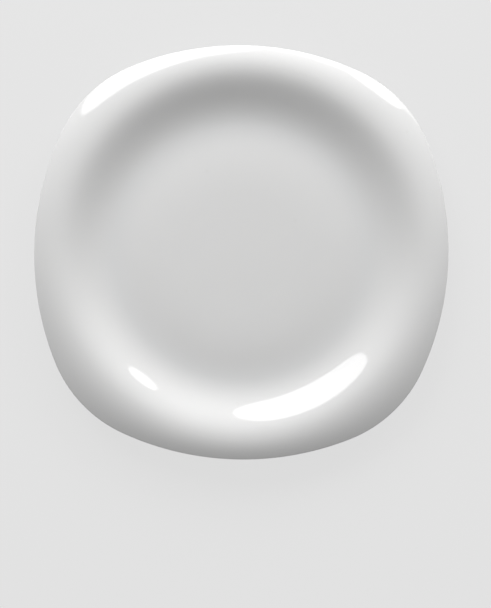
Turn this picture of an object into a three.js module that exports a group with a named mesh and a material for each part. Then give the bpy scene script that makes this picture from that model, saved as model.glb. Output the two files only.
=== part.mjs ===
// A dinner plate in bone china: one fired body with a turned foot ring, and the two coats of clear
// glaze that cover all of it but the ring that it stands on.
// The well, its slope and the crest of the rim are round. Only the outer edge follows a square with
// bowed sides and round corners, so beyond the crest the rim is widest, and droops lowest, there.
// Millimetres, +Z up. The origin is on the table, under the middle of the plate.

import * as THREE from "three";

// Outline, seen from above
const PLATE_WIDTH = 270; // between the middles of two opposite sides
const SIDE_RADIUS = 191; // bow of a side
const CORNER_RADIUS = 85.4; // round of a corner

// Widths, from the middle of a side inwards
const RIM_WIDTH = 12.9; // edge to crest
const SLOPE_WIDTH = 39.2; // crest to the lowest ring of the well
const CROWN_WIDTH = 44.4; // lowest ring to the flat in the middle of the well

// Heights
const FOOT_HEIGHT = 4.8; // inside the ring
const FOOT_STEP = 2.8; // outside the ring, where the underside comes down to meet it
const WELL_DEPTH = 12.8; // from the crest down to the lowest ring of the well
const CROWN_RISE = 1.9; // from that ring up to the flat

// Fall of the rim's outer edge
const SIDE_TILT = THREE.MathUtils.degToRad(28); // at the middle of a side
const CORNER_TILT = THREE.MathUtils.degToRad(30);

// How far a curve holds its level direction at each end
const CROWN_HOLD = 29; // at the flat
const MOAT_HOLD = 11.5; // at the lowest ring, on the side of the flat
const COVE_HOLD = 18.6; // at the lowest ring, on the side of the slope
const CREST_HOLD = 14.9; // at the crest
const EAVES_HOLD = 12; // under the crest
const BELLY_HOLD = 24; // under the slope, where the underside meets the foot

// Thicknesses, glaze included
const WELL_WALL = 4.4; // at the lowest ring of the well
const RIM_WALL = 2.6; // from the crest to the full round of the lip
const GLAZE = 0.3;
const BOND_GAP = 0.05; // between the glaze and the body

// Foot ring
const FOOT_INSET = 3.4; // from the lowest ring of the well to the outer wall
const FOOT_WIDTH = 5;
const FOOT_ROUND = 1.2; // both edges of the standing face
const FOOT_FILLET = 1.4; // both roots
const FOOT_STRAIGHT = 0.3; // least straight wall between a round and a fillet
const GLAZE_LINE = 0.5; // height at which the glaze stops above the bare standing face

// Facets
const TURN_STEPS = 56;
const STEPS = { crown: 3, slope: 6, rim: 2, lip: 6, belly: 6, fillet: 2, round: 1, ceiling: 2 };

// Sizes that follow from the ones above
const halfWidth = PLATE_WIDTH / 2;
const crestRadius = halfWidth - RIM_WIDTH;
const wellRadius = crestRadius - SLOPE_WIDTH;
const flatRadius = wellRadius - CROWN_WIDTH;
const wellHeight = FOOT_HEIGHT + WELL_WALL;
const crestHeight = wellHeight + WELL_DEPTH;
const flatHeight = wellHeight + CROWN_RISE;
const ceilingHeight = FOOT_HEIGHT + CROWN_RISE;
const lipRadius = RIM_WALL / 2;
const footOuter = wellRadius - FOOT_INSET;
const footInner = footOuter - FOOT_WIDTH;
const innerFillet = Math.min(FOOT_FILLET, FOOT_HEIGHT - FOOT_ROUND - FOOT_STRAIGHT);
const outerFillet = Math.min(FOOT_FILLET, FOOT_STEP - FOOT_ROUND - FOOT_STRAIGHT);
const glazeAngle = Math.asin(GLAZE_LINE / FOOT_ROUND - 1);
const bareAngle = glazeAngle - BOND_GAP / FOOT_ROUND;
const quarter = Math.PI / 2;

// Distance from the axis to the edge of the plate in a direction round it: the arc of a side up to
// the point where the arc of the corner takes over, tangent to it.
function reachAt(angle) {
  const fromSide = Math.abs(angle - quarter * Math.round(angle / quarter));
  const sideBack = SIDE_RADIUS - halfWidth;
  const between = SIDE_RADIUS - CORNER_RADIUS;
  const along = sideBack * Math.SQRT1_2;
  const cornerOut = Math.sqrt(between ** 2 - along ** 2) - along;
  const turn = Math.atan2(cornerOut * Math.SQRT1_2, cornerOut * Math.SQRT1_2 + sideBack);
  const tangent = Math.atan2(
    SIDE_RADIUS * Math.sin(turn),
    SIDE_RADIUS * Math.cos(turn) - sideBack,
  );
  if (fromSide <= tangent) {
    const across = sideBack * Math.sin(fromSide);
    return Math.sqrt(SIDE_RADIUS ** 2 - across ** 2) - sideBack * Math.cos(fromSide);
  }
  const fromCorner = quarter / 2 - fromSide;
  const across = cornerOut * Math.sin(fromCorner);
  return Math.sqrt(CORNER_RADIUS ** 2 - across ** 2) + cornerOut * Math.cos(fromCorner);
}

// A point of the profile: x is the distance from the axis and y the height.
function point(radius, height) {
  return new THREE.Vector2(radius, height);
}

// A curve that leaves its first point and reaches its last one level, held so for the given lengths.
function levelCurve(first, firstHold, last, lastHold) {
  const way = Math.sign(last.x - first.x);
  return new THREE.CubicBezierCurve(
    first,
    point(first.x + way * firstHold, first.y),
    point(last.x - way * lastHold, last.y),
    last,
  );
}

function arc(centre, radius, from, to) {
  return new THREE.EllipseCurve(centre.x, centre.y, radius, radius, from, to, to < from);
}

// Stations along a curve: a point and the direction out of the material, on the left of the travel.
function trace(curve, steps) {
  return Array.from({ length: steps + 1 }, (_, i) => {
    const along = curve.getTangent(i / steps);
    return { at: curve.getPoint(i / steps), out: point(-along.y, along.x) };
  });
}

// Stretches joined end to end, each leaving out the point that it shares with the one before.
function join(first, ...rest) {
  return rest.reduce((path, stretch) => [...path, ...stretch.slice(1)], first);
}

// A path moved into the material by a depth.
function sunk(path, depth) {
  return path.map(({ at, out }) => ({ at: at.clone().addScaledVector(out, -depth), out }));
}

// The same path travelled the other way, so that the material is on its other side.
function turned(path) {
  return path.map(({ at, out }) => ({ at, out: out.clone().negate() })).reverse();
}

// The main coat's surface: over the well and up its slope, over the rim and round the lip, back
// under the plate and down the outside of the foot.
function mainSurface(reach) {
  const flatEdge = point(flatRadius, flatHeight);
  const wellRing = point(wellRadius, wellHeight);
  const crest = point(crestRadius, crestHeight);
  const flat = trace(new THREE.LineCurve(point(0, flatHeight), flatEdge), 1);
  const crown = trace(levelCurve(flatEdge, CROWN_HOLD, wellRing, MOAT_HOLD), STEPS.crown);
  const slope = trace(levelCurve(wellRing, COVE_HOLD, crest, CREST_HOLD), STEPS.slope);

  // The middle of the rim's wall is a parabola from under the crest to the centre of the lip.
  const share = (reach - halfWidth) / (reachAt(quarter / 2) - halfWidth);
  const tilt = THREE.MathUtils.lerp(SIDE_TILT, CORNER_TILT, share);
  const rimRun = reach - lipRadius - crestRadius;
  const rimFall = (rimRun * Math.tan(tilt)) / 2;
  const middleHeight = crestHeight - lipRadius;
  const lipCentre = point(crestRadius + rimRun, middleHeight - rimFall);
  const middle = new THREE.QuadraticBezierCurve(
    point(crestRadius, middleHeight),
    point(crestRadius + rimRun / 2, middleHeight),
    lipCentre,
  );
  const rimMiddle = trace(middle, STEPS.rim);
  const rimTop = sunk(rimMiddle, -lipRadius);
  const rimUnder = turned(sunk(rimMiddle, lipRadius));
  const lip = trace(arc(lipCentre, lipRadius, quarter - tilt, -quarter - tilt), STEPS.lip);

  const eaves = point(crestRadius, crestHeight - RIM_WALL);
  const footRoot = point(footOuter + outerFillet, FOOT_STEP);
  const belly = trace(levelCurve(eaves, EAVES_HOLD, footRoot, BELLY_HOLD), STEPS.belly);
  const filletCentre = point(footRoot.x, FOOT_STEP - outerFillet);
  const fillet = trace(arc(filletCentre, outerFillet, quarter, 2 * quarter), STEPS.fillet);
  const wallFoot = point(footOuter, FOOT_ROUND);
  const wall = trace(new THREE.LineCurve(point(footOuter, filletCentre.y), wallFoot), 1);
  const roundCentre = point(footOuter - FOOT_ROUND, FOOT_ROUND);
  const round = trace(arc(roundCentre, FOOT_ROUND, 0, glazeAngle), STEPS.round);
  return join(flat, crown, slope, rimTop, lip, rimUnder, belly, fillet, wall, round);
}

// The bare face that the foot stands on, with the parts of its round edges that carry no glaze.
function bareFace() {
  const outerCentre = point(footOuter - FOOT_ROUND, FOOT_ROUND);
  const innerCentre = point(footInner + FOOT_ROUND, FOOT_ROUND);
  const standing = new THREE.LineCurve(point(outerCentre.x, 0), point(innerCentre.x, 0));
  return join(
    trace(arc(outerCentre, FOOT_ROUND, bareAngle, -quarter), STEPS.round),
    trace(standing, 1),
    trace(arc(innerCentre, FOOT_ROUND, -quarter, -2 * quarter - bareAngle), STEPS.round),
  );
}

// The base coat's surface: up the inside of the foot and across the hollow under the well.
function baseSurface() {
  const roundCentre = point(footInner + FOOT_ROUND, FOOT_ROUND);
  const filletCentre = point(footInner - innerFillet, FOOT_HEIGHT - innerFillet);
  const ceilingRoot = point(filletCentre.x, FOOT_HEIGHT);
  const ceilingFlat = point(flatRadius, ceilingHeight);
  const wall = new THREE.LineCurve(
    point(footInner, FOOT_ROUND),
    point(footInner, filletCentre.y),
  );
  const ceiling = levelCurve(ceilingRoot, MOAT_HOLD, ceilingFlat, CROWN_HOLD);
  return join(
    trace(arc(roundCentre, FOOT_ROUND, -2 * quarter - glazeAngle, -2 * quarter), STEPS.round),
    trace(wall, 1),
    trace(arc(filletCentre, innerFillet, 0, quarter), STEPS.fillet),
    trace(ceiling, STEPS.ceiling),
    trace(new THREE.LineCurve(ceilingFlat, point(0, ceilingHeight)), 1),
  );
}

// Profiles of the three pieces where the edge lies at a given reach: the stations of the front, and
// behind them those of the back of a coat.
function bodyProfile(reach) {
  const skin = GLAZE + BOND_GAP;
  const underMain = sunk(mainSurface(reach), skin);
  return { front: [...underMain, ...bareFace(), ...sunk(baseSurface(), skin)], back: [] };
}

function coatProfile(surface) {
  return { front: surface, back: sunk(surface, GLAZE).reverse() };
}

function mainGlazeProfile(reach) {
  return coatProfile(mainSurface(reach));
}

function baseGlazeProfile() {
  return coatProfile(baseSurface());
}

// A solid swept round the axis by a profile that changes with the reach of the edge. The front and
// the back of a coat are cut into triangles along the same diagonals, so it keeps its thickness.
function swept(profileFor) {
  const positions = [];
  const triangles = [];
  for (let step = 0; step < TURN_STEPS; step += 1) {
    const angle = (step * 2 * Math.PI) / TURN_STEPS;
    const { front, back } = profileFor(reachAt(angle));
    const loop = [...front, ...back];
    const here = step * loop.length;
    const there = ((step + 1) % TURN_STEPS) * loop.length;
    loop.forEach(({ at }, i) => {
      positions.push(at.x * Math.cos(angle), at.x * Math.sin(angle), at.y);
      const next = (i + 1) % loop.length;
      const [a, b, c, d] = [here + i, there + i, there + next, here + next];
      triangles.push(...(i < front.length ? [a, d, b, b, d, c] : [a, d, c, a, c, b]));
    });
  }
  const geometry = new THREE.BufferGeometry();
  geometry.setAttribute("position", new THREE.Float32BufferAttribute(positions, 3));
  geometry.setIndex(triangles);
  geometry.computeVertexNormals();
  return geometry;
}

function piece(name, profileFor, finish) {
  const material = new THREE.MeshStandardMaterial({ metalness: 0, ...finish });
  const mesh = new THREE.Mesh(swept(profileFor), material);
  mesh.name = name;
  return mesh;
}

const plate = new THREE.Group();
plate.add(
  piece("china_body", bodyProfile, { color: 0xeeebe4, roughness: 0.65 }),
  piece("main_glaze", mainGlazeProfile, { color: 0xf2f2f0, roughness: 0.08 }),
  piece("base_glaze", baseGlazeProfile, { color: 0xf2f2f0, roughness: 0.08 }),
);

export default plate;
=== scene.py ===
"""Studio picture of a bone china plate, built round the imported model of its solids.

The three solids are faceted, so each is replaced in its own place by a fine piece: the fired body,
the main coat of clear glaze from the top round to the foot, and the base coat inside the foot
ring. Profiles are drawn in millimetres, as distance from the axis and height, and the meshes are
in metres.
"""

import logging
import math
from dataclasses import dataclass
from enum import Enum

import bmesh
import bpy
from mathutils import Matrix, Vector


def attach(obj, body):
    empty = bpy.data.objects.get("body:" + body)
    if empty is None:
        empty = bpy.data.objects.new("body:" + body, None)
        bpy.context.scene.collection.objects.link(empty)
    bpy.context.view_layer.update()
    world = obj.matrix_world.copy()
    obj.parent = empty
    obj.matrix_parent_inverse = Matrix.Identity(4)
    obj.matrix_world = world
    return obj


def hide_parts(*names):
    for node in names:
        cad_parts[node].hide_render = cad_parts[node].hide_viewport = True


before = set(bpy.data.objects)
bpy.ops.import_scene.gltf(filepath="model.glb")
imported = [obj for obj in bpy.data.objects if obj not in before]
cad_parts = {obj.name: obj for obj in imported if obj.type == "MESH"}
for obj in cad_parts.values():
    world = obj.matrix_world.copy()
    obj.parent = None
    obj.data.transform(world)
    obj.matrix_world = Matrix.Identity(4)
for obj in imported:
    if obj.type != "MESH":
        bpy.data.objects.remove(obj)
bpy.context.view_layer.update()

MM = 0.001
QUARTER = 0.5 * math.pi
HALF_TURN = math.pi
FULL_TURN = 2.0 * math.pi
IMAGE_HEIGHT = 608
STATION = "station"
POOLING = "pooling"
LOG = logging.getLogger("plate")


class Node(Enum):
    """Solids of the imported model."""

    CHINA_BODY = "china_body"
    MAIN_GLAZE = "main_glaze"
    BASE_GLAZE = "base_glaze"


class Slot(Enum):
    """Material slots of the record."""

    BARE_CHINA = "bare_china"
    CLEAR_GLAZE = "clear_glaze"


class Body(Enum):
    """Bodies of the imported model."""

    ROOT = "root"


@dataclass(frozen=True)
class Station:
    """One point of a profile.

    Attributes:
        at: Distance from the axis and height, in millimetres.
        out: Unit direction out of the material.
    """

    at: Vector
    out: Vector

    def moved(self, distance: float) -> "Station":
        """Returns the station moved out of the material by a distance."""
        return Station(self.at + self.out * distance, self.out)


Stretch = list[Station]


def left_of(along: Vector) -> Vector:
    """Returns the unit direction on the left of a direction of travel."""
    return Vector((-along.y, along.x)).normalized()


def line(first: Vector, last: Vector, steps: int) -> Stretch:
    """Returns stations along a straight line with the material on its right.

    Args:
        first: Start point.
        last: End point.
        steps: Number of segments.

    Returns:
        The stations, both ends included.
    """
    out = left_of(last - first)
    return [Station(first.lerp(last, i / steps), out) for i in range(steps + 1)]


def level_curve(
    first: Vector, first_hold: float, last: Vector, last_hold: float, steps: int
) -> Stretch:
    """Returns stations along a curve that is level at both ends.

    Args:
        first: Start point.
        first_hold: How far the curve holds its level direction at the start.
        last: End point.
        last_hold: How far it holds it at the end.
        steps: Number of segments.

    Returns:
        The stations, both ends included.
    """
    way = math.copysign(1.0, last.x - first.x)
    points = (
        first,
        first + Vector((way * first_hold, 0.0)),
        last - Vector((way * last_hold, 0.0)),
        last,
    )
    spans = [end - start for start, end in zip(points, points[1:])]
    stations = []
    for i in range(steps + 1):
        t = i / steps
        s = 1.0 - t
        weights = (s**3, 3 * s * s * t, 3 * s * t * t, t**3)
        rates = (s * s, 2 * s * t, t * t)
        at = sum((point * weight for point, weight in zip(points, weights)), Vector((0.0, 0.0)))
        along = sum((span * rate for span, rate in zip(spans, rates)), Vector((0.0, 0.0)))
        stations.append(Station(at, left_of(along)))
    return stations


def arc(centre: Vector, radius: float, start: float, stop: float, steps: int) -> Stretch:
    """Returns stations along an arc with the material on the right of the travel.

    Args:
        centre: Centre of the arc.
        radius: Its radius.
        start: Angle of its first point, in radians.
        stop: Angle of its last point.
        steps: Number of segments.

    Returns:
        The stations, both ends included.
    """
    side = 1.0 if stop < start else -1.0
    stations = []
    for i in range(steps + 1):
        angle = start + (stop - start) * i / steps
        ray = Vector((math.cos(angle), math.sin(angle)))
        stations.append(Station(centre + ray * radius, ray * side))
    return stations


def join(*stretches: Stretch) -> Stretch:
    """Returns stretches joined end to end.

    Args:
        stretches: The stretches, each starting where the one before it ends.

    Returns:
        All their stations, with each shared point once.
    """
    joined = list(stretches[0])
    for stretch in stretches[1:]:
        joined += stretch[1:]
    return joined


def sunk(path: Stretch, depth: float) -> Stretch:
    """Returns a path moved into the material by a depth."""
    return [station.moved(-depth) for station in path]


def turned(path: Stretch) -> Stretch:
    """Returns a path travelled the other way, with the material on its other side."""
    return [Station(station.at, -station.out) for station in reversed(path)]


def pool(station: Station, deepest: Vector, spread: float) -> float:
    """Returns how much glaze pooled at a station.

    Args:
        station: The station.
        deepest: Point where the pool is deepest.
        spread: How far the pool reaches, in millimetres.

    Returns:
        The share, 1 at the deepest point and falling off round it.
    """
    return math.exp(-(((station.at - deepest).length / spread) ** 2))


@dataclass(frozen=True)
class Fineness:
    """Number of segments along each stretch of a profile."""

    flat: int = 6
    crown: int = 22
    slope: int = 34
    rim: int = 20
    lip: int = 14
    belly: int = 26
    fillet: int = 8
    outer_wall: int = 1
    inner_wall: int = 2
    foot_round: int = 6
    standing_face: int = 4
    coat_edge: int = 6


@dataclass(frozen=True)
class PlateForm:
    """Sizes of the plate in millimetres, and the surfaces that follow from them."""

    width: float = 270.0
    side_radius: float = 191.0
    corner_radius: float = 85.4
    rim_width: float = 12.9
    slope_width: float = 39.2
    crown_width: float = 44.4
    foot_height: float = 4.8
    foot_step: float = 2.8
    well_depth: float = 12.8
    crown_rise: float = 1.9
    side_tilt: float = math.radians(28.0)
    corner_tilt: float = math.radians(30.0)
    crown_hold: float = 29.0
    moat_hold: float = 11.5
    cove_hold: float = 18.6
    crest_hold: float = 14.9
    eaves_hold: float = 12.0
    belly_hold: float = 24.0
    well_wall: float = 4.4
    rim_wall: float = 2.6
    glaze: float = 0.3
    bond_gap: float = 0.05
    foot_inset: float = 3.4
    foot_width: float = 5.0
    foot_round: float = 1.2
    foot_fillet: float = 1.4
    foot_straight: float = 0.3
    glaze_line: float = 0.5
    fine: Fineness = Fineness()

    @property
    def half_width(self) -> float:
        """Distance from the axis to the middle of a side."""
        return self.width / 2

    @property
    def crest_radius(self) -> float:
        """Radius of the rim's crest."""
        return self.half_width - self.rim_width

    @property
    def well_radius(self) -> float:
        """Radius of the lowest ring of the well."""
        return self.crest_radius - self.slope_width

    @property
    def flat_radius(self) -> float:
        """Radius of the flat in the middle of the well."""
        return self.well_radius - self.crown_width

    @property
    def well_height(self) -> float:
        """Height of the lowest ring of the well."""
        return self.foot_height + self.well_wall

    @property
    def crest_height(self) -> float:
        """Height of the rim's crest."""
        return self.well_height + self.well_depth

    @property
    def foot_outer(self) -> float:
        """Outer radius of the foot ring."""
        return self.well_radius - self.foot_inset

    @property
    def foot_inner(self) -> float:
        """Inner radius of the foot ring."""
        return self.foot_outer - self.foot_width

    @property
    def glaze_angle(self) -> float:
        """Angle on the foot's round at which the glaze stops."""
        return math.asin(self.glaze_line / self.foot_round - 1.0)

    @property
    def bare_angle(self) -> float:
        """Angle on the foot's round at which the bare face starts."""
        return self.glaze_angle - self.bond_gap / self.foot_round

    def fillet(self, wall: float) -> float:
        """Returns the fillet at the root of a foot wall of the given height."""
        return min(self.foot_fillet, wall - self.foot_round - self.foot_straight)

    def reach_at(self, angle: float) -> float:
        """Returns how far the edge lies from the axis in a direction.

        Args:
            angle: Direction round the axis, in radians.

        Returns:
            The distance: on the arc of a side up to where the arc of the corner takes over,
            tangent to it.
        """
        from_side = abs(angle - QUARTER * round(angle / QUARTER))
        side_back = self.side_radius - self.half_width
        between = self.side_radius - self.corner_radius
        along = side_back * math.sqrt(0.5)
        corner_out = math.sqrt(between**2 - along**2) - along
        leg = corner_out * math.sqrt(0.5)
        turn = math.atan2(leg, leg + side_back)
        tangent = math.atan2(
            self.side_radius * math.sin(turn), self.side_radius * math.cos(turn) - side_back
        )
        if from_side <= tangent:
            across = side_back * math.sin(from_side)
            return math.sqrt(self.side_radius**2 - across**2) - side_back * math.cos(from_side)
        from_corner = QUARTER / 2 - from_side
        across = corner_out * math.sin(from_corner)
        return math.sqrt(self.corner_radius**2 - across**2) + corner_out * math.cos(from_corner)

    def rim(self, reach: float) -> Stretch:
        """Returns the rim's top, its full-round lip and its underside.

        Args:
            reach: Distance from the axis to the edge.

        Returns:
            Stations from the crest out to the lip, round it and back under the crest.
        """
        lip_radius = self.rim_wall / 2
        share = (reach - self.half_width) / (self.reach_at(QUARTER / 2) - self.half_width)
        tilt = self.side_tilt + (self.corner_tilt - self.side_tilt) * share
        run = reach - lip_radius - self.crest_radius
        top = self.crest_height - lip_radius
        middle = []
        for i in range(self.fine.rim + 1):
            t = i / self.fine.rim
            slope = math.tan(tilt) * t
            at = Vector((self.crest_radius + run * t, top - run * slope * t / 2))
            middle.append(Station(at, Vector((slope, 1.0)).normalized()))
        lip = arc(middle[-1].at, lip_radius, QUARTER - tilt, -QUARTER - tilt, self.fine.lip)
        return join(sunk(middle, -lip_radius), lip, turned(sunk(middle, lip_radius)))

    def main_surface(self, reach: float) -> Stretch:
        """Returns the main coat's surface where the edge lies at a reach.

        Args:
            reach: Distance from the axis to the edge.

        Returns:
            Stations over the well and the rim, round the lip, under the plate and down the
            foot's outside.
        """
        flat_height = self.well_height + self.crown_rise
        flat_edge = Vector((self.flat_radius, flat_height))
        well_ring = Vector((self.well_radius, self.well_height))
        crest = Vector((self.crest_radius, self.crest_height))
        eaves = Vector((self.crest_radius, self.crest_height - self.rim_wall))
        fillet = self.fillet(self.foot_step)
        root = Vector((self.foot_outer + fillet, self.foot_step))
        fillet_centre = root - Vector((0.0, fillet))
        round_centre = Vector((self.foot_outer - self.foot_round, self.foot_round))
        return join(
            line(Vector((0.0, flat_height)), flat_edge, self.fine.flat),
            level_curve(flat_edge, self.crown_hold, well_ring, self.moat_hold, self.fine.crown),
            level_curve(well_ring, self.cove_hold, crest, self.crest_hold, self.fine.slope),
            self.rim(reach),
            level_curve(eaves, self.eaves_hold, root, self.belly_hold, self.fine.belly),
            arc(fillet_centre, fillet, QUARTER, HALF_TURN, self.fine.fillet),
            line(
                Vector((self.foot_outer, fillet_centre.y)),
                Vector((self.foot_outer, self.foot_round)),
                self.fine.outer_wall,
            ),
            arc(round_centre, self.foot_round, 0.0, self.glaze_angle, self.fine.foot_round),
        )

    def bare_face(self) -> Stretch:
        """Returns the bare face that the foot stands on.

        Returns:
            Stations from the outside to the inside, with the bare parts of the round edges.
        """
        outer = Vector((self.foot_outer - self.foot_round, self.foot_round))
        inner = Vector((self.foot_inner + self.foot_round, self.foot_round))
        return join(
            arc(outer, self.foot_round, self.bare_angle, -QUARTER, self.fine.foot_round),
            line(Vector((outer.x, 0.0)), Vector((inner.x, 0.0)), self.fine.standing_face),
            arc(
                inner,
                self.foot_round,
                -QUARTER,
                -HALF_TURN - self.bare_angle,
                self.fine.foot_round,
            ),
        )

    def base_surface(self) -> Stretch:
        """Returns the base coat's surface.

        Returns:
            Stations up the foot's inside and across the hollow under the well to the axis.
        """
        fillet = self.fillet(self.foot_height)
        round_centre = Vector((self.foot_inner + self.foot_round, self.foot_round))
        fillet_centre = Vector((self.foot_inner - fillet, self.foot_height - fillet))
        root = Vector((fillet_centre.x, self.foot_height))
        flat_edge = Vector((self.flat_radius, self.foot_height + self.crown_rise))
        return join(
            arc(
                round_centre,
                self.foot_round,
                -HALF_TURN - self.glaze_angle,
                -HALF_TURN,
                self.fine.foot_round,
            ),
            line(
                Vector((self.foot_inner, self.foot_round)),
                Vector((self.foot_inner, fillet_centre.y)),
                self.fine.inner_wall,
            ),
            arc(fillet_centre, fillet, 0.0, QUARTER, self.fine.fillet),
            level_curve(root, self.moat_hold, flat_edge, self.crown_hold, self.fine.crown),
            line(flat_edge, Vector((0.0, flat_edge.y)), self.fine.flat),
        )

    def coat(self, surface: Stretch, edge_first: bool) -> Stretch:
        """Returns the loop of a coat of glaze, with a rounded edge where it stops on the foot.

        Args:
            surface: The coat's outer surface.
            edge_first: True where the surface starts at that edge, False where it ends there.

        Returns:
            Stations from the axis round the edge and back to the axis.
        """
        back = turned(sunk(surface, self.glaze))
        first, last = (back[-1], surface[0]) if edge_first else (surface[-1], back[0])
        centre = first.at.lerp(last.at, 0.5)
        start = math.atan2(first.out.y, first.out.x)
        edge = arc(centre, self.glaze / 2, start, start - HALF_TURN, self.fine.coat_edge)
        return join(back, edge, surface) if edge_first else join(surface, edge, back)


@dataclass(frozen=True)
class FineGrain:
    """Node group that both finishes share: soft clouds and small specks, left by the firing.

    Attributes:
        name: Name of the group.
        cloud_detail: Layers of finer clouds.
        cloud_roughness: Share of the finer clouds.
        speckless: Share of the cells that have no speck.
        speck_core: Share of a cell's width that is all speck.
        speck_edge: Share at which the speck has faded.
    """

    name: str = "fired_clouds_and_specks"
    cloud_detail: float = 3.0
    cloud_roughness: float = 0.55
    speckless: float = 0.93
    speck_core: float = 0.05
    speck_edge: float = 0.16

    def group(self) -> bpy.types.ShaderNodeTree:
        """Returns the node group, built on the first call.

        Returns:
            A group that takes Vector, Cloud Scale and Speck Scale and gives Clouds and Specks
            from 0 to 1.
        """
        made = bpy.data.node_groups.get(self.name)
        if made:
            return made
        tree = bpy.data.node_groups.new(self.name, "ShaderNodeTree")
        face = tree.interface
        face.new_socket("Vector", in_out="INPUT", socket_type="NodeSocketVector")
        face.new_socket("Cloud Scale", in_out="INPUT", socket_type="NodeSocketFloat")
        face.new_socket("Speck Scale", in_out="INPUT", socket_type="NodeSocketFloat")
        face.new_socket("Clouds", in_out="OUTPUT", socket_type="NodeSocketFloat")
        face.new_socket("Specks", in_out="OUTPUT", socket_type="NodeSocketFloat")
        given = tree.nodes.new("NodeGroupInput")
        result = tree.nodes.new("NodeGroupOutput")
        clouds = tree.nodes.new("ShaderNodeTexNoise")
        clouds.inputs["Detail"].default_value = self.cloud_detail
        clouds.inputs["Roughness"].default_value = self.cloud_roughness
        cells = tree.nodes.new("ShaderNodeTexVoronoi")
        cells.inputs["Randomness"].default_value = 1.0
        rarity = tree.nodes.new("ShaderNodeSeparateColor")
        rare = tree.nodes.new("ShaderNodeMath")
        rare.operation = "GREATER_THAN"
        rare.inputs[1].default_value = self.speckless
        dot = tree.nodes.new("ShaderNodeMapRange")
        dot.interpolation_type = "SMOOTHSTEP"
        dot.inputs["From Min"].default_value = self.speck_edge
        dot.inputs["From Max"].default_value = self.speck_core
        both = tree.nodes.new("ShaderNodeMath")
        both.operation = "MULTIPLY"
        links = tree.links
        links.new(given.outputs["Vector"], clouds.inputs["Vector"])
        links.new(given.outputs["Cloud Scale"], clouds.inputs["Scale"])
        links.new(given.outputs["Vector"], cells.inputs["Vector"])
        links.new(given.outputs["Speck Scale"], cells.inputs["Scale"])
        links.new(cells.outputs["Color"], rarity.inputs["Color"])
        links.new(rarity.outputs["Red"], rare.inputs[0])
        links.new(cells.outputs["Distance"], dot.inputs["Value"])
        links.new(dot.outputs["Result"], both.inputs[0])
        links.new(rare.outputs[0], both.inputs[1])
        links.new(clouds.outputs["Fac"], result.inputs["Clouds"])
        links.new(both.outputs[0], result.inputs["Specks"])
        return tree


@dataclass(frozen=True)
class MaterialBench:
    """A new material with its shader, its object coordinates and the shared grain in place."""

    material: bpy.types.Material
    shader: bpy.types.Node
    place: bpy.types.NodeSocket
    clouds: bpy.types.NodeSocket
    specks: bpy.types.NodeSocket

    @classmethod
    def start(cls, name: str, cloud_scale: float, speck_scale: float) -> "MaterialBench":
        """Returns a bench with a new material.

        Args:
            name: Name of the material.
            cloud_scale: Clouds per metre.
            speck_scale: Speck cells per metre.

        Returns:
            The bench, with a Principled shader joined to the output.
        """
        material = bpy.data.materials.new(name)
        material.use_nodes = True
        nodes = material.node_tree.nodes
        links = material.node_tree.links
        shader = nodes["Principled BSDF"]
        coordinates = nodes.new("ShaderNodeTexCoord")
        grain = nodes.new("ShaderNodeGroup")
        grain.node_tree = FineGrain().group()
        grain.inputs["Cloud Scale"].default_value = cloud_scale
        grain.inputs["Speck Scale"].default_value = speck_scale
        place = coordinates.outputs["Object"]
        links.new(place, grain.inputs["Vector"])
        return cls(material, shader, place, grain.outputs["Clouds"], grain.outputs["Specks"])

    def node(self, kind: str) -> bpy.types.Node:
        """Returns a new node of a kind in the material."""
        return self.material.node_tree.nodes.new(kind)

    def link(self, source: bpy.types.NodeSocket, target: bpy.types.NodeSocket) -> None:
        """Joins an output to an input."""
        self.material.node_tree.links.new(source, target)

    def ranged(
        self, source: bpy.types.NodeSocket, low: float, high: float
    ) -> bpy.types.NodeSocket:
        """Returns a 0 to 1 value brought to a range.

        Args:
            source: The value.
            low: Result where it is 0.
            high: Result where it is 1.

        Returns:
            The output with the result.
        """
        node = self.node("ShaderNodeMapRange")
        node.inputs["To Min"].default_value = low
        node.inputs["To Max"].default_value = high
        self.link(source, node.inputs["Value"])
        return node.outputs["Result"]

    def mixed(
        self,
        share: bpy.types.NodeSocket,
        first: "bpy.types.NodeSocket | tuple[float, float, float]",
        second: tuple[float, float, float],
    ) -> bpy.types.NodeSocket:
        """Returns a colour mixed by a share.

        Args:
            share: How much of the second colour, from 0 to 1.
            first: The first colour, or the output that gives it.
            second: The second colour.

        Returns:
            The output with the mixed colour.
        """
        node = self.node("ShaderNodeMix")
        node.data_type = "RGBA"
        self.link(share, node.inputs["Factor"])
        if isinstance(first, tuple):
            node.inputs["A"].default_value = (*first, 1.0)
        else:
            self.link(first, node.inputs["A"])
        node.inputs["B"].default_value = (*second, 1.0)
        return node.outputs["Result"]

    def bump(self, height: bpy.types.NodeSocket, strength: float, distance: float) -> None:
        """Raises the surface by a height.

        Args:
            height: The height, from 0 to 1.
            strength: Share of the effect.
            distance: Metres that a height of 1 stands for.
        """
        node = self.node("ShaderNodeBump")
        node.inputs["Strength"].default_value = strength
        node.inputs["Distance"].default_value = distance
        self.link(height, node.inputs["Height"])
        self.link(node.outputs["Normal"], self.shader.inputs["Normal"])


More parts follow.
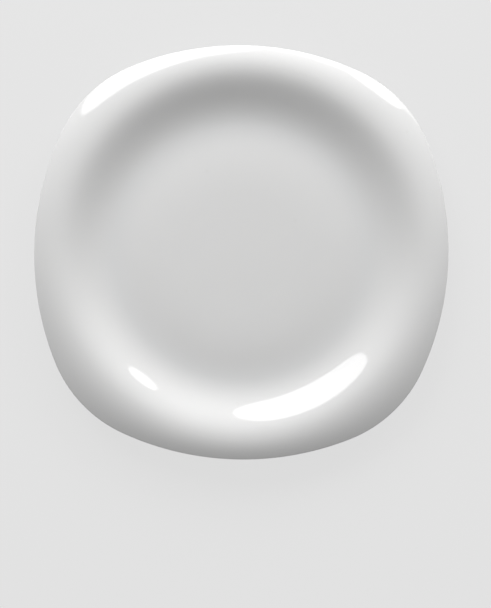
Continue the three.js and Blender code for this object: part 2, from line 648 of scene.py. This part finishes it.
@dataclass(frozen=True)
class ClearGlaze:
    """Fired clear glaze over white china.

    It has a hard gloss, a faint ripple, and a cooler tint where it pooled.

    Attributes:
        white: Colour of the china under the glaze.
        clouded: Colour in the clouds.
        pooled: Colour where the glaze pooled.
        speck: Colour of a speck.
        speck_share: How far a speck shows.
        cloud_scale: Clouds per metre.
        speck_scale: Speck cells per metre.
        gloss_low: Least roughness.
        gloss_high: Most roughness.
        gloss_scale: Changes of gloss per metre.
        gloss_detail: Layers of finer changes.
        ripple_scale: Ripples per metre.
        ripple_detail: Layers of finer ripples.
        ripple_strength: Share of the ripple's effect.
        ripple_height: Height of the ripple in metres.
        index: Index of refraction.
    """

    white: tuple[float, float, float] = (0.872, 0.871, 0.866)
    clouded: tuple[float, float, float] = (0.852, 0.852, 0.849)
    pooled: tuple[float, float, float] = (0.838, 0.844, 0.846)
    speck: tuple[float, float, float] = (0.76, 0.75, 0.73)
    speck_share: float = 0.16
    cloud_scale: float = 34.0
    speck_scale: float = 85.0
    gloss_low: float = 0.025
    gloss_high: float = 0.06
    gloss_scale: float = 150.0
    gloss_detail: float = 4.0
    ripple_scale: float = 95.0
    ripple_detail: float = 1.5
    ripple_strength: float = 0.35
    ripple_height: float = 0.06 * MM
    index: float = 1.56

    def material(self) -> bpy.types.Material:
        """Returns the finish as a material.

        Returns:
            The material, whose tint reads the piece's pooling.
        """
        bench = MaterialBench.start("fired_glaze", self.cloud_scale, self.speck_scale)
        pooling = bench.node("ShaderNodeAttribute")
        pooling.attribute_name = POOLING
        tint = bench.mixed(bench.clouds, self.white, self.clouded)
        tint = bench.mixed(pooling.outputs["Fac"], tint, self.pooled)
        tint = bench.mixed(bench.ranged(bench.specks, 0.0, self.speck_share), tint, self.speck)
        bench.link(tint, bench.shader.inputs["Base Color"])
        gloss = bench.node("ShaderNodeTexNoise")
        gloss.inputs["Scale"].default_value = self.gloss_scale
        gloss.inputs["Detail"].default_value = self.gloss_detail
        bench.link(bench.place, gloss.inputs["Vector"])
        bench.link(
            bench.ranged(gloss.outputs["Fac"], self.gloss_low, self.gloss_high),
            bench.shader.inputs["Roughness"],
        )
        ripple = bench.node("ShaderNodeTexNoise")
        ripple.inputs["Scale"].default_value = self.ripple_scale
        ripple.inputs["Detail"].default_value = self.ripple_detail
        bench.link(bench.place, ripple.inputs["Vector"])
        bench.bump(ripple.outputs["Fac"], self.ripple_strength, self.ripple_height)
        bench.shader.inputs["IOR"].default_value = self.index
        return bench.material


@dataclass(frozen=True)
class BareChina:
    """Unglazed fired china where the glaze was wiped off the foot.

    It is matte, finely turned and a little rubbed.

    Attributes:
        fired: Colour of the bare china.
        clouded: Colour in the clouds, where it is rubbed.
        speck: Colour of a speck.
        speck_share: How far a speck shows.
        cloud_scale: Clouds per metre.
        speck_scale: Speck cells per metre.
        matte_low: Least roughness.
        matte_high: Most roughness.
        ring_scale: Scale of the turning marks.
        ring_wobble: How far the marks stray from true rings.
        ring_detail: Layers of finer marks.
        ring_strength: Share of the marks' effect.
        ring_height: Height of the marks in metres.
    """

    fired: tuple[float, float, float] = (0.84, 0.82, 0.78)
    clouded: tuple[float, float, float] = (0.79, 0.77, 0.73)
    speck: tuple[float, float, float] = (0.55, 0.51, 0.46)
    speck_share: float = 0.6
    cloud_scale: float = 120.0
    speck_scale: float = 420.0
    matte_low: float = 0.55
    matte_high: float = 0.8
    ring_scale: float = 260.0
    ring_wobble: float = 1.2
    ring_detail: float = 3.0
    ring_strength: float = 0.5
    ring_height: float = 0.05 * MM

    def material(self) -> bpy.types.Material:
        """Returns the finish as a material.

        Returns:
            The material, with its turning marks round the plate's axis.
        """
        bench = MaterialBench.start("wiped_foot", self.cloud_scale, self.speck_scale)
        tint = bench.mixed(bench.clouds, self.fired, self.clouded)
        tint = bench.mixed(bench.ranged(bench.specks, 0.0, self.speck_share), tint, self.speck)
        bench.link(tint, bench.shader.inputs["Base Color"])
        bench.link(
            bench.ranged(bench.clouds, self.matte_low, self.matte_high),
            bench.shader.inputs["Roughness"],
        )
        rings = bench.node("ShaderNodeTexWave")
        rings.wave_type = "RINGS"
        rings.rings_direction = "Z"
        rings.inputs["Scale"].default_value = self.ring_scale
        rings.inputs["Distortion"].default_value = self.ring_wobble
        rings.inputs["Detail"].default_value = self.ring_detail
        bench.link(bench.place, rings.inputs["Vector"])
        bench.bump(rings.outputs["Fac"], self.ring_strength, self.ring_height)
        return bench.material


@dataclass(frozen=True)
class TurnedPiece:
    """A piece that is swept round the axis, with an edge that follows the plate's outline.

    Attributes:
        form: The plate's sizes.
        name: Name of the piece.
        node: Solid that it replaces.
        slot: Material slot of its finish; not used.
        turn_steps: Facets round the axis.
        merge_within: Distance in metres within which vertices are one.
        reach_digits: Decimals to which two reaches in millimetres count as the same.
    """

    form: PlateForm
    name: str
    node: Node
    slot: Slot
    turn_steps: int = 216
    merge_within: float = 0.001 * MM
    reach_digits: int = 9

    def profile(self, reach: float) -> Stretch:
        """Returns the profile from the axis round to the axis, where the edge lies at a reach."""
        raise NotImplementedError

    def pooling(self, station: Station) -> float:
        """Returns how much glaze pooled at a station, from 0 to 1."""
        return 0.0

    def build(self) -> bpy.types.Object:
        """Builds the piece in place of its solid.

        Returns:
            The piece's object at the origin, riding on its body.
        """
        mesh_work = bmesh.new()
        index = mesh_work.verts.layers.int.new(STATION)
        pooling = mesh_work.verts.layers.float.new(POOLING)
        ring = []
        for i, station in enumerate(self.profile(self.form.half_width)):
            corner = mesh_work.verts.new((station.at.x * MM, 0.0, station.at.y * MM))
            corner[index] = i
            corner[pooling] = self.pooling(station)
            ring.append(corner)
        edges = [mesh_work.edges.new(pair) for pair in zip(ring, ring[1:])]
        bmesh.ops.spin(
            mesh_work,
            geom=ring + edges,
            cent=(0.0, 0.0, 0.0),
            axis=(0.0, 0.0, 1.0),
            angle=FULL_TURN,
            steps=self.turn_steps,
            use_merge=True,
        )
        bmesh.ops.remove_doubles(mesh_work, verts=mesh_work.verts[:], dist=self.merge_within)
        self.draw_edge_out(mesh_work)
        bmesh.ops.recalc_face_normals(mesh_work, faces=mesh_work.faces[:])
        for face in mesh_work.faces:
            face.smooth = True
        mesh_work.verts.layers.int.remove(mesh_work.verts.layers.int[STATION])
        mesh = bpy.data.meshes.new(self.name)
        mesh_work.to_mesh(mesh)
        mesh_work.free()
        piece = bpy.data.objects.new(self.name, mesh)
        bpy.context.scene.collection.objects.link(piece)
        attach(piece, Body.ROOT.value)
        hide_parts(self.node.value)
        return piece

    def draw_edge_out(self, mesh_work: bmesh.types.BMesh) -> None:
        """Draws the round edge out to the plate's outline.

        Args:
            mesh_work: The spun mesh, whose vertices know their station.
        """
        index = mesh_work.verts.layers.int[STATION]
        step = FULL_TURN / self.turn_steps
        reaches = [
            round(self.form.reach_at(i * step), self.reach_digits) for i in range(self.turn_steps)
        ]
        drawn = {reach: self.profile(reach) for reach in set(reaches)}
        for corner in mesh_work.verts:
            turn = round(math.atan2(corner.co.y, corner.co.x) / step) % self.turn_steps
            at = drawn[reaches[turn]][corner[index]].at
            ray = Vector((math.cos(turn * step), math.sin(turn * step), 0.0))
            corner.co = (ray * at.x + Vector((0.0, 0.0, at.y))) * MM

    def dress(self, piece: bpy.types.Object, material: bpy.types.Material) -> None:
        """Gives the piece its finish and reports it."""
        piece.data.materials.append(material)
        LOG.info("%s: %d faces in %s", piece.name, len(piece.data.polygons), material.name)


class FiredBody(TurnedPiece):
    """The fired china body. Only its standing face is bare."""

    def profile(self, reach: float) -> Stretch:
        """Returns the body's profile.

        Args:
            reach: Distance from the axis to the edge.

        Returns:
            Stations under the main coat, round the bare face and under the base coat.
        """
        skin = self.form.glaze + self.form.bond_gap
        return (
            sunk(self.form.main_surface(reach), skin)
            + self.form.bare_face()
            + sunk(self.form.base_surface(), skin)
        )


@dataclass(frozen=True)
class MainCoat(TurnedPiece):
    """The coat of glaze over the top, the rim and the underside.

    Attributes:
        ring_share: How much pooled in the lowest ring of the well.
        ring_spread: How far that reaches, in millimetres.
        root_spread: How far the pool at the root of the foot reaches.
    """

    ring_share: float = 0.6
    ring_spread: float = 9.0
    root_spread: float = 1.5

    def profile(self, reach: float) -> Stretch:
        """Returns the coat's profile."""
        return self.form.coat(self.form.main_surface(reach), edge_first=False)

    def pooling(self, station: Station) -> float:
        """Returns how much glaze pooled at a station.

        Args:
            station: The station.

        Returns:
            The share from 0 to 1: in the lowest ring of the well and at the root of the foot.
        """
        form = self.form
        ring = Vector((form.well_radius, form.well_height))
        root = Vector((form.foot_outer, form.foot_step))
        in_ring = pool(station, ring, self.ring_spread)
        return min(1.0, self.ring_share * in_ring + pool(station, root, self.root_spread))


@dataclass(frozen=True)
class BaseCoat(TurnedPiece):
    """The coat of glaze in the hollow inside the foot ring.

    Attributes:
        root_spread: How far the pool at the root of the foot reaches, in millimetres.
    """

    root_spread: float = 1.8

    def profile(self, reach: float) -> Stretch:
        """Returns the coat's profile, which doesn't depend on the reach."""
        return list(reversed(self.form.coat(self.form.base_surface(), edge_first=True)))

    def pooling(self, station: Station) -> float:
        """Returns the pooling: at the root of the foot."""
        root = Vector((self.form.foot_inner, self.form.foot_height))
        return pool(station, root, self.root_spread)


@dataclass(frozen=True)
class Softbox:
    """An oval lamp that faces the plate.

    Attributes:
        name: Name of the lamp.
        azimuth: Direction from the plate, in degrees from +X towards +Y.
        zenith: Angle from straight up, in degrees.
        distance: Distance from the plate in metres.
        width: Level width in metres.
        height: Other width in metres.
        power: Power in watts.
        roll: Turn about the line to the plate, in degrees.
    """

    name: str
    azimuth: float
    zenith: float
    distance: float
    width: float
    height: float
    power: float
    roll: float = 0.0

    def hang(self) -> None:
        """Hangs the lamp in the scene."""
        lamp = bpy.data.lights.new(self.name, "AREA")
        lamp.shape = "ELLIPSE"
        lamp.size = self.width
        lamp.size_y = self.height
        lamp.energy = self.power
        hung = bpy.data.objects.new(self.name, lamp)
        bpy.context.scene.collection.objects.link(hung)
        zenith = math.radians(self.zenith)
        azimuth = math.radians(self.azimuth)
        hung.location = (
            self.distance * math.sin(zenith) * math.cos(azimuth),
            self.distance * math.sin(zenith) * math.sin(azimuth),
            self.distance * math.cos(zenith),
        )
        turn = (
            Matrix.Rotation(azimuth + QUARTER, 3, "Z")
            @ Matrix.Rotation(zenith, 3, "X")
            @ Matrix.Rotation(math.radians(self.roll), 3, "Z")
        )
        hung.rotation_euler = turn.to_euler()
        LOG.info("%s: %.1f W at zenith %.0f", self.name, self.power, self.zenith)


@dataclass(frozen=True)
class OverheadCamera:
    """The camera straight above the plate.

    Attributes:
        height: Height above the table in metres.
        pixel: Metres across one picture element at the height of the rim's edge.
        right: Level offset from the plate's axis, to the right in the picture.
        up: Level offset, upwards in the picture.
        roll: Turn about the line of sight.
        rim_height: Height of the rim's edge above the table in metres.
    """

    height: float = 1.4
    pixel: float = 0.6512 * MM
    right: float = 2.7 * MM
    up: float = -33.6 * MM
    roll: float = math.radians(1.4)
    rim_height: float = 0.019

    def set_up(self) -> None:
        """Makes the camera the scene's own."""
        camera = bpy.data.cameras.new("overhead_camera")
        tall = IMAGE_HEIGHT * self.pixel
        camera.lens = camera.sensor_width * (self.height - self.rim_height) / tall
        seat = bpy.data.objects.new("overhead_camera", camera)
        bpy.context.scene.collection.objects.link(seat)
        turn_x = Vector((math.cos(self.roll), math.sin(self.roll), 0.0))
        turn_y = Vector((-math.sin(self.roll), math.cos(self.roll), 0.0))
        seat.location = turn_x * self.right + turn_y * self.up + Vector((0.0, 0.0, self.height))
        seat.rotation_euler = (0.0, 0.0, self.roll)
        bpy.context.scene.camera = seat


def grey(tone: float) -> tuple[float, float, float, float]:
    """Returns a grey of the given brightness as a colour."""
    return (tone, tone, tone, 1.0)


@dataclass(frozen=True)
class Studio:
    """The table, the room's light and the lamps.

    Attributes:
        table_tone: Brightness that the table shows of itself near the plate.
        backdrop_tone: Brightness of the background, into which the far table fades.
        table_reach: Half the table's width, in metres.
        table_drop: Depth of the table under the foot's standing face, in metres.
        fade_start: Distance from the plate's axis at which the table starts to fade, in metres.
        fade_stop: Distance at which it has become the background.
        shown_share: Share of the near table's look that is its own tone, and not the light that
            falls on it.
        room_light: Strength of the even light of the room.
        lamps: The lamps.
    """

    table_tone: float = 0.81
    backdrop_tone: float = 0.742
    table_reach: float = 6.0
    table_drop: float = 0.05 * MM
    fade_start: float = 0.3
    fade_stop: float = 0.9
    shown_share: float = 0.84
    room_light: float = 0.292
    lamps: tuple[Softbox, ...] = (
        Softbox(
            name="main_softbox",
            azimuth=112.5,
            zenith=61.2,
            distance=1.6,
            width=1.47,
            height=1.18,
            power=17.1,
            roll=34.0,
        ),
        Softbox(
            name="small_softbox",
            azimuth=54.3,
            zenith=64.5,
            distance=1.6,
            width=0.51,
            height=0.75,
            power=4.0,
        ),
        Softbox(
            name="back_panel",
            azimuth=68.0,
            zenith=75.0,
            distance=2.2,
            width=2.6,
            height=1.45,
            power=21.0,
        ),
    )

    def seen_share(self, tree: bpy.types.NodeTree) -> bpy.types.NodeSocket:
        """Returns 1 for what the camera sees, straight or in a gloss, and 0 for light in the room.

        Args:
            tree: Node tree to put the test into.

        Returns:
            The output with the share.
        """
        light_path = tree.nodes.new("ShaderNodeLightPath")
        share = light_path.outputs["Is Camera Ray"]
        for kind in ("Is Glossy Ray", "Is Transmission Ray"):
            either = tree.nodes.new("ShaderNodeMath")
            either.operation = "MAXIMUM"
            tree.links.new(share, either.inputs[0])
            tree.links.new(light_path.outputs[kind], either.inputs[1])
            share = either.outputs[0]
        return share

    def faded(
        self, tree: bpy.types.NodeTree, away: bpy.types.NodeSocket, near: float, far: float
    ) -> bpy.types.NodeSocket:
        """Returns a value that changes softly with the distance from the plate.

        Args:
            tree: Node tree to put the change into.
            away: The distance in metres.
            near: Value up to where the fade starts.
            far: Value from where it stops.

        Returns:
            The output with the value.
        """
        fade = tree.nodes.new("ShaderNodeMapRange")
        fade.interpolation_type = "SMOOTHSTEP"
        fade.inputs["From Min"].default_value = self.fade_start
        fade.inputs["From Max"].default_value = self.fade_stop
        fade.inputs["To Min"].default_value = near
        fade.inputs["To Max"].default_value = far
        tree.links.new(away, fade.inputs["Value"])
        return fade.outputs["Result"]

    def table_material(self) -> bpy.types.Material:
        """Returns the table's finish.

        Returns:
            The material: pale paper that keeps part of the plate's shadow.
        """
        material = bpy.data.materials.new("pale_table")
        material.use_nodes = True
        tree = material.node_tree
        tree.nodes.remove(tree.nodes["Principled BSDF"])
        place = tree.nodes.new("ShaderNodeTexCoord")
        away = tree.nodes.new("ShaderNodeVectorMath")
        away.operation = "LENGTH"
        tree.links.new(place.outputs["Object"], away.inputs[0])
        tone = self.faded(tree, away.outputs["Value"], self.table_tone, self.backdrop_tone)
        own_share = self.faded(tree, away.outputs["Value"], self.shown_share, 1.0)
        paper = tree.nodes.new("ShaderNodeBsdfDiffuse")
        paper.inputs["Color"].default_value = grey(self.table_tone)
        shown = tree.nodes.new("ShaderNodeEmission")
        tree.links.new(tone, shown.inputs["Color"])
        share = tree.nodes.new("ShaderNodeMath")
        share.operation = "MULTIPLY"
        tree.links.new(self.seen_share(tree), share.inputs[0])
        tree.links.new(own_share, share.inputs[1])
        mix = tree.nodes.new("ShaderNodeMixShader")
        tree.links.new(share.outputs[0], mix.inputs[0])
        tree.links.new(paper.outputs[0], mix.inputs[1])
        tree.links.new(shown.outputs[0], mix.inputs[2])
        tree.links.new(mix.outputs[0], tree.nodes["Material Output"].inputs["Surface"])
        return material

    def lay_table(self) -> None:
        """Lays the table under the plate."""
        mesh_work = bmesh.new()
        drop = Matrix.Translation((0.0, 0.0, -self.table_drop))
        bmesh.ops.create_grid(
            mesh_work, x_segments=1, y_segments=1, size=self.table_reach, matrix=drop
        )
        mesh = bpy.data.meshes.new("table")
        mesh_work.to_mesh(mesh)
        mesh_work.free()
        mesh.materials.append(self.table_material())
        table = bpy.data.objects.new("table", mesh)
        bpy.context.scene.collection.objects.link(table)

    def light_room(self) -> None:
        """Lights the room evenly, and shows the backdrop's tone behind it."""
        world = bpy.data.worlds.new("room")
        world.use_nodes = True
        bpy.context.scene.world = world
        tree = world.node_tree
        even = tree.nodes["Background"]
        even.inputs["Color"].default_value = grey(1.0)
        even.inputs["Strength"].default_value = self.room_light
        backdrop = tree.nodes.new("ShaderNodeBackground")
        backdrop.inputs["Color"].default_value = grey(self.backdrop_tone)
        mix = tree.nodes.new("ShaderNodeMixShader")
        tree.links.new(self.seen_share(tree), mix.inputs[0])
        tree.links.new(even.outputs[0], mix.inputs[1])
        tree.links.new(backdrop.outputs[0], mix.inputs[2])
        tree.links.new(mix.outputs[0], tree.nodes["World Output"].inputs["Surface"])

    def set_up(self) -> None:
        """Sets up the table, the room and the lamps."""
        bpy.context.scene.view_settings.view_transform = "Standard"
        self.lay_table()
        self.light_room()
        for lamp in self.lamps:
            lamp.hang()


def main() -> None:
    """Builds and dresses the plate, then sets up the studio and the camera."""
    logging.basicConfig(level=logging.INFO, format="%(name)s: %(message)s")
    form = PlateForm()
    glaze = ClearGlaze().material()
    bare = BareChina().material()
    pieces = (
        (FiredBody(form, "fired_body", Node.CHINA_BODY, Slot.BARE_CHINA), bare),
        (MainCoat(form, "main_coat", Node.MAIN_GLAZE, Slot.CLEAR_GLAZE), glaze),
        (BaseCoat(form, "base_coat", Node.BASE_GLAZE, Slot.CLEAR_GLAZE), glaze),
    )
    for piece, finish in pieces:
        piece.dress(piece.build(), finish)
    Studio().set_up()
    OverheadCamera().set_up()


if __name__ == "__main__":
    main()
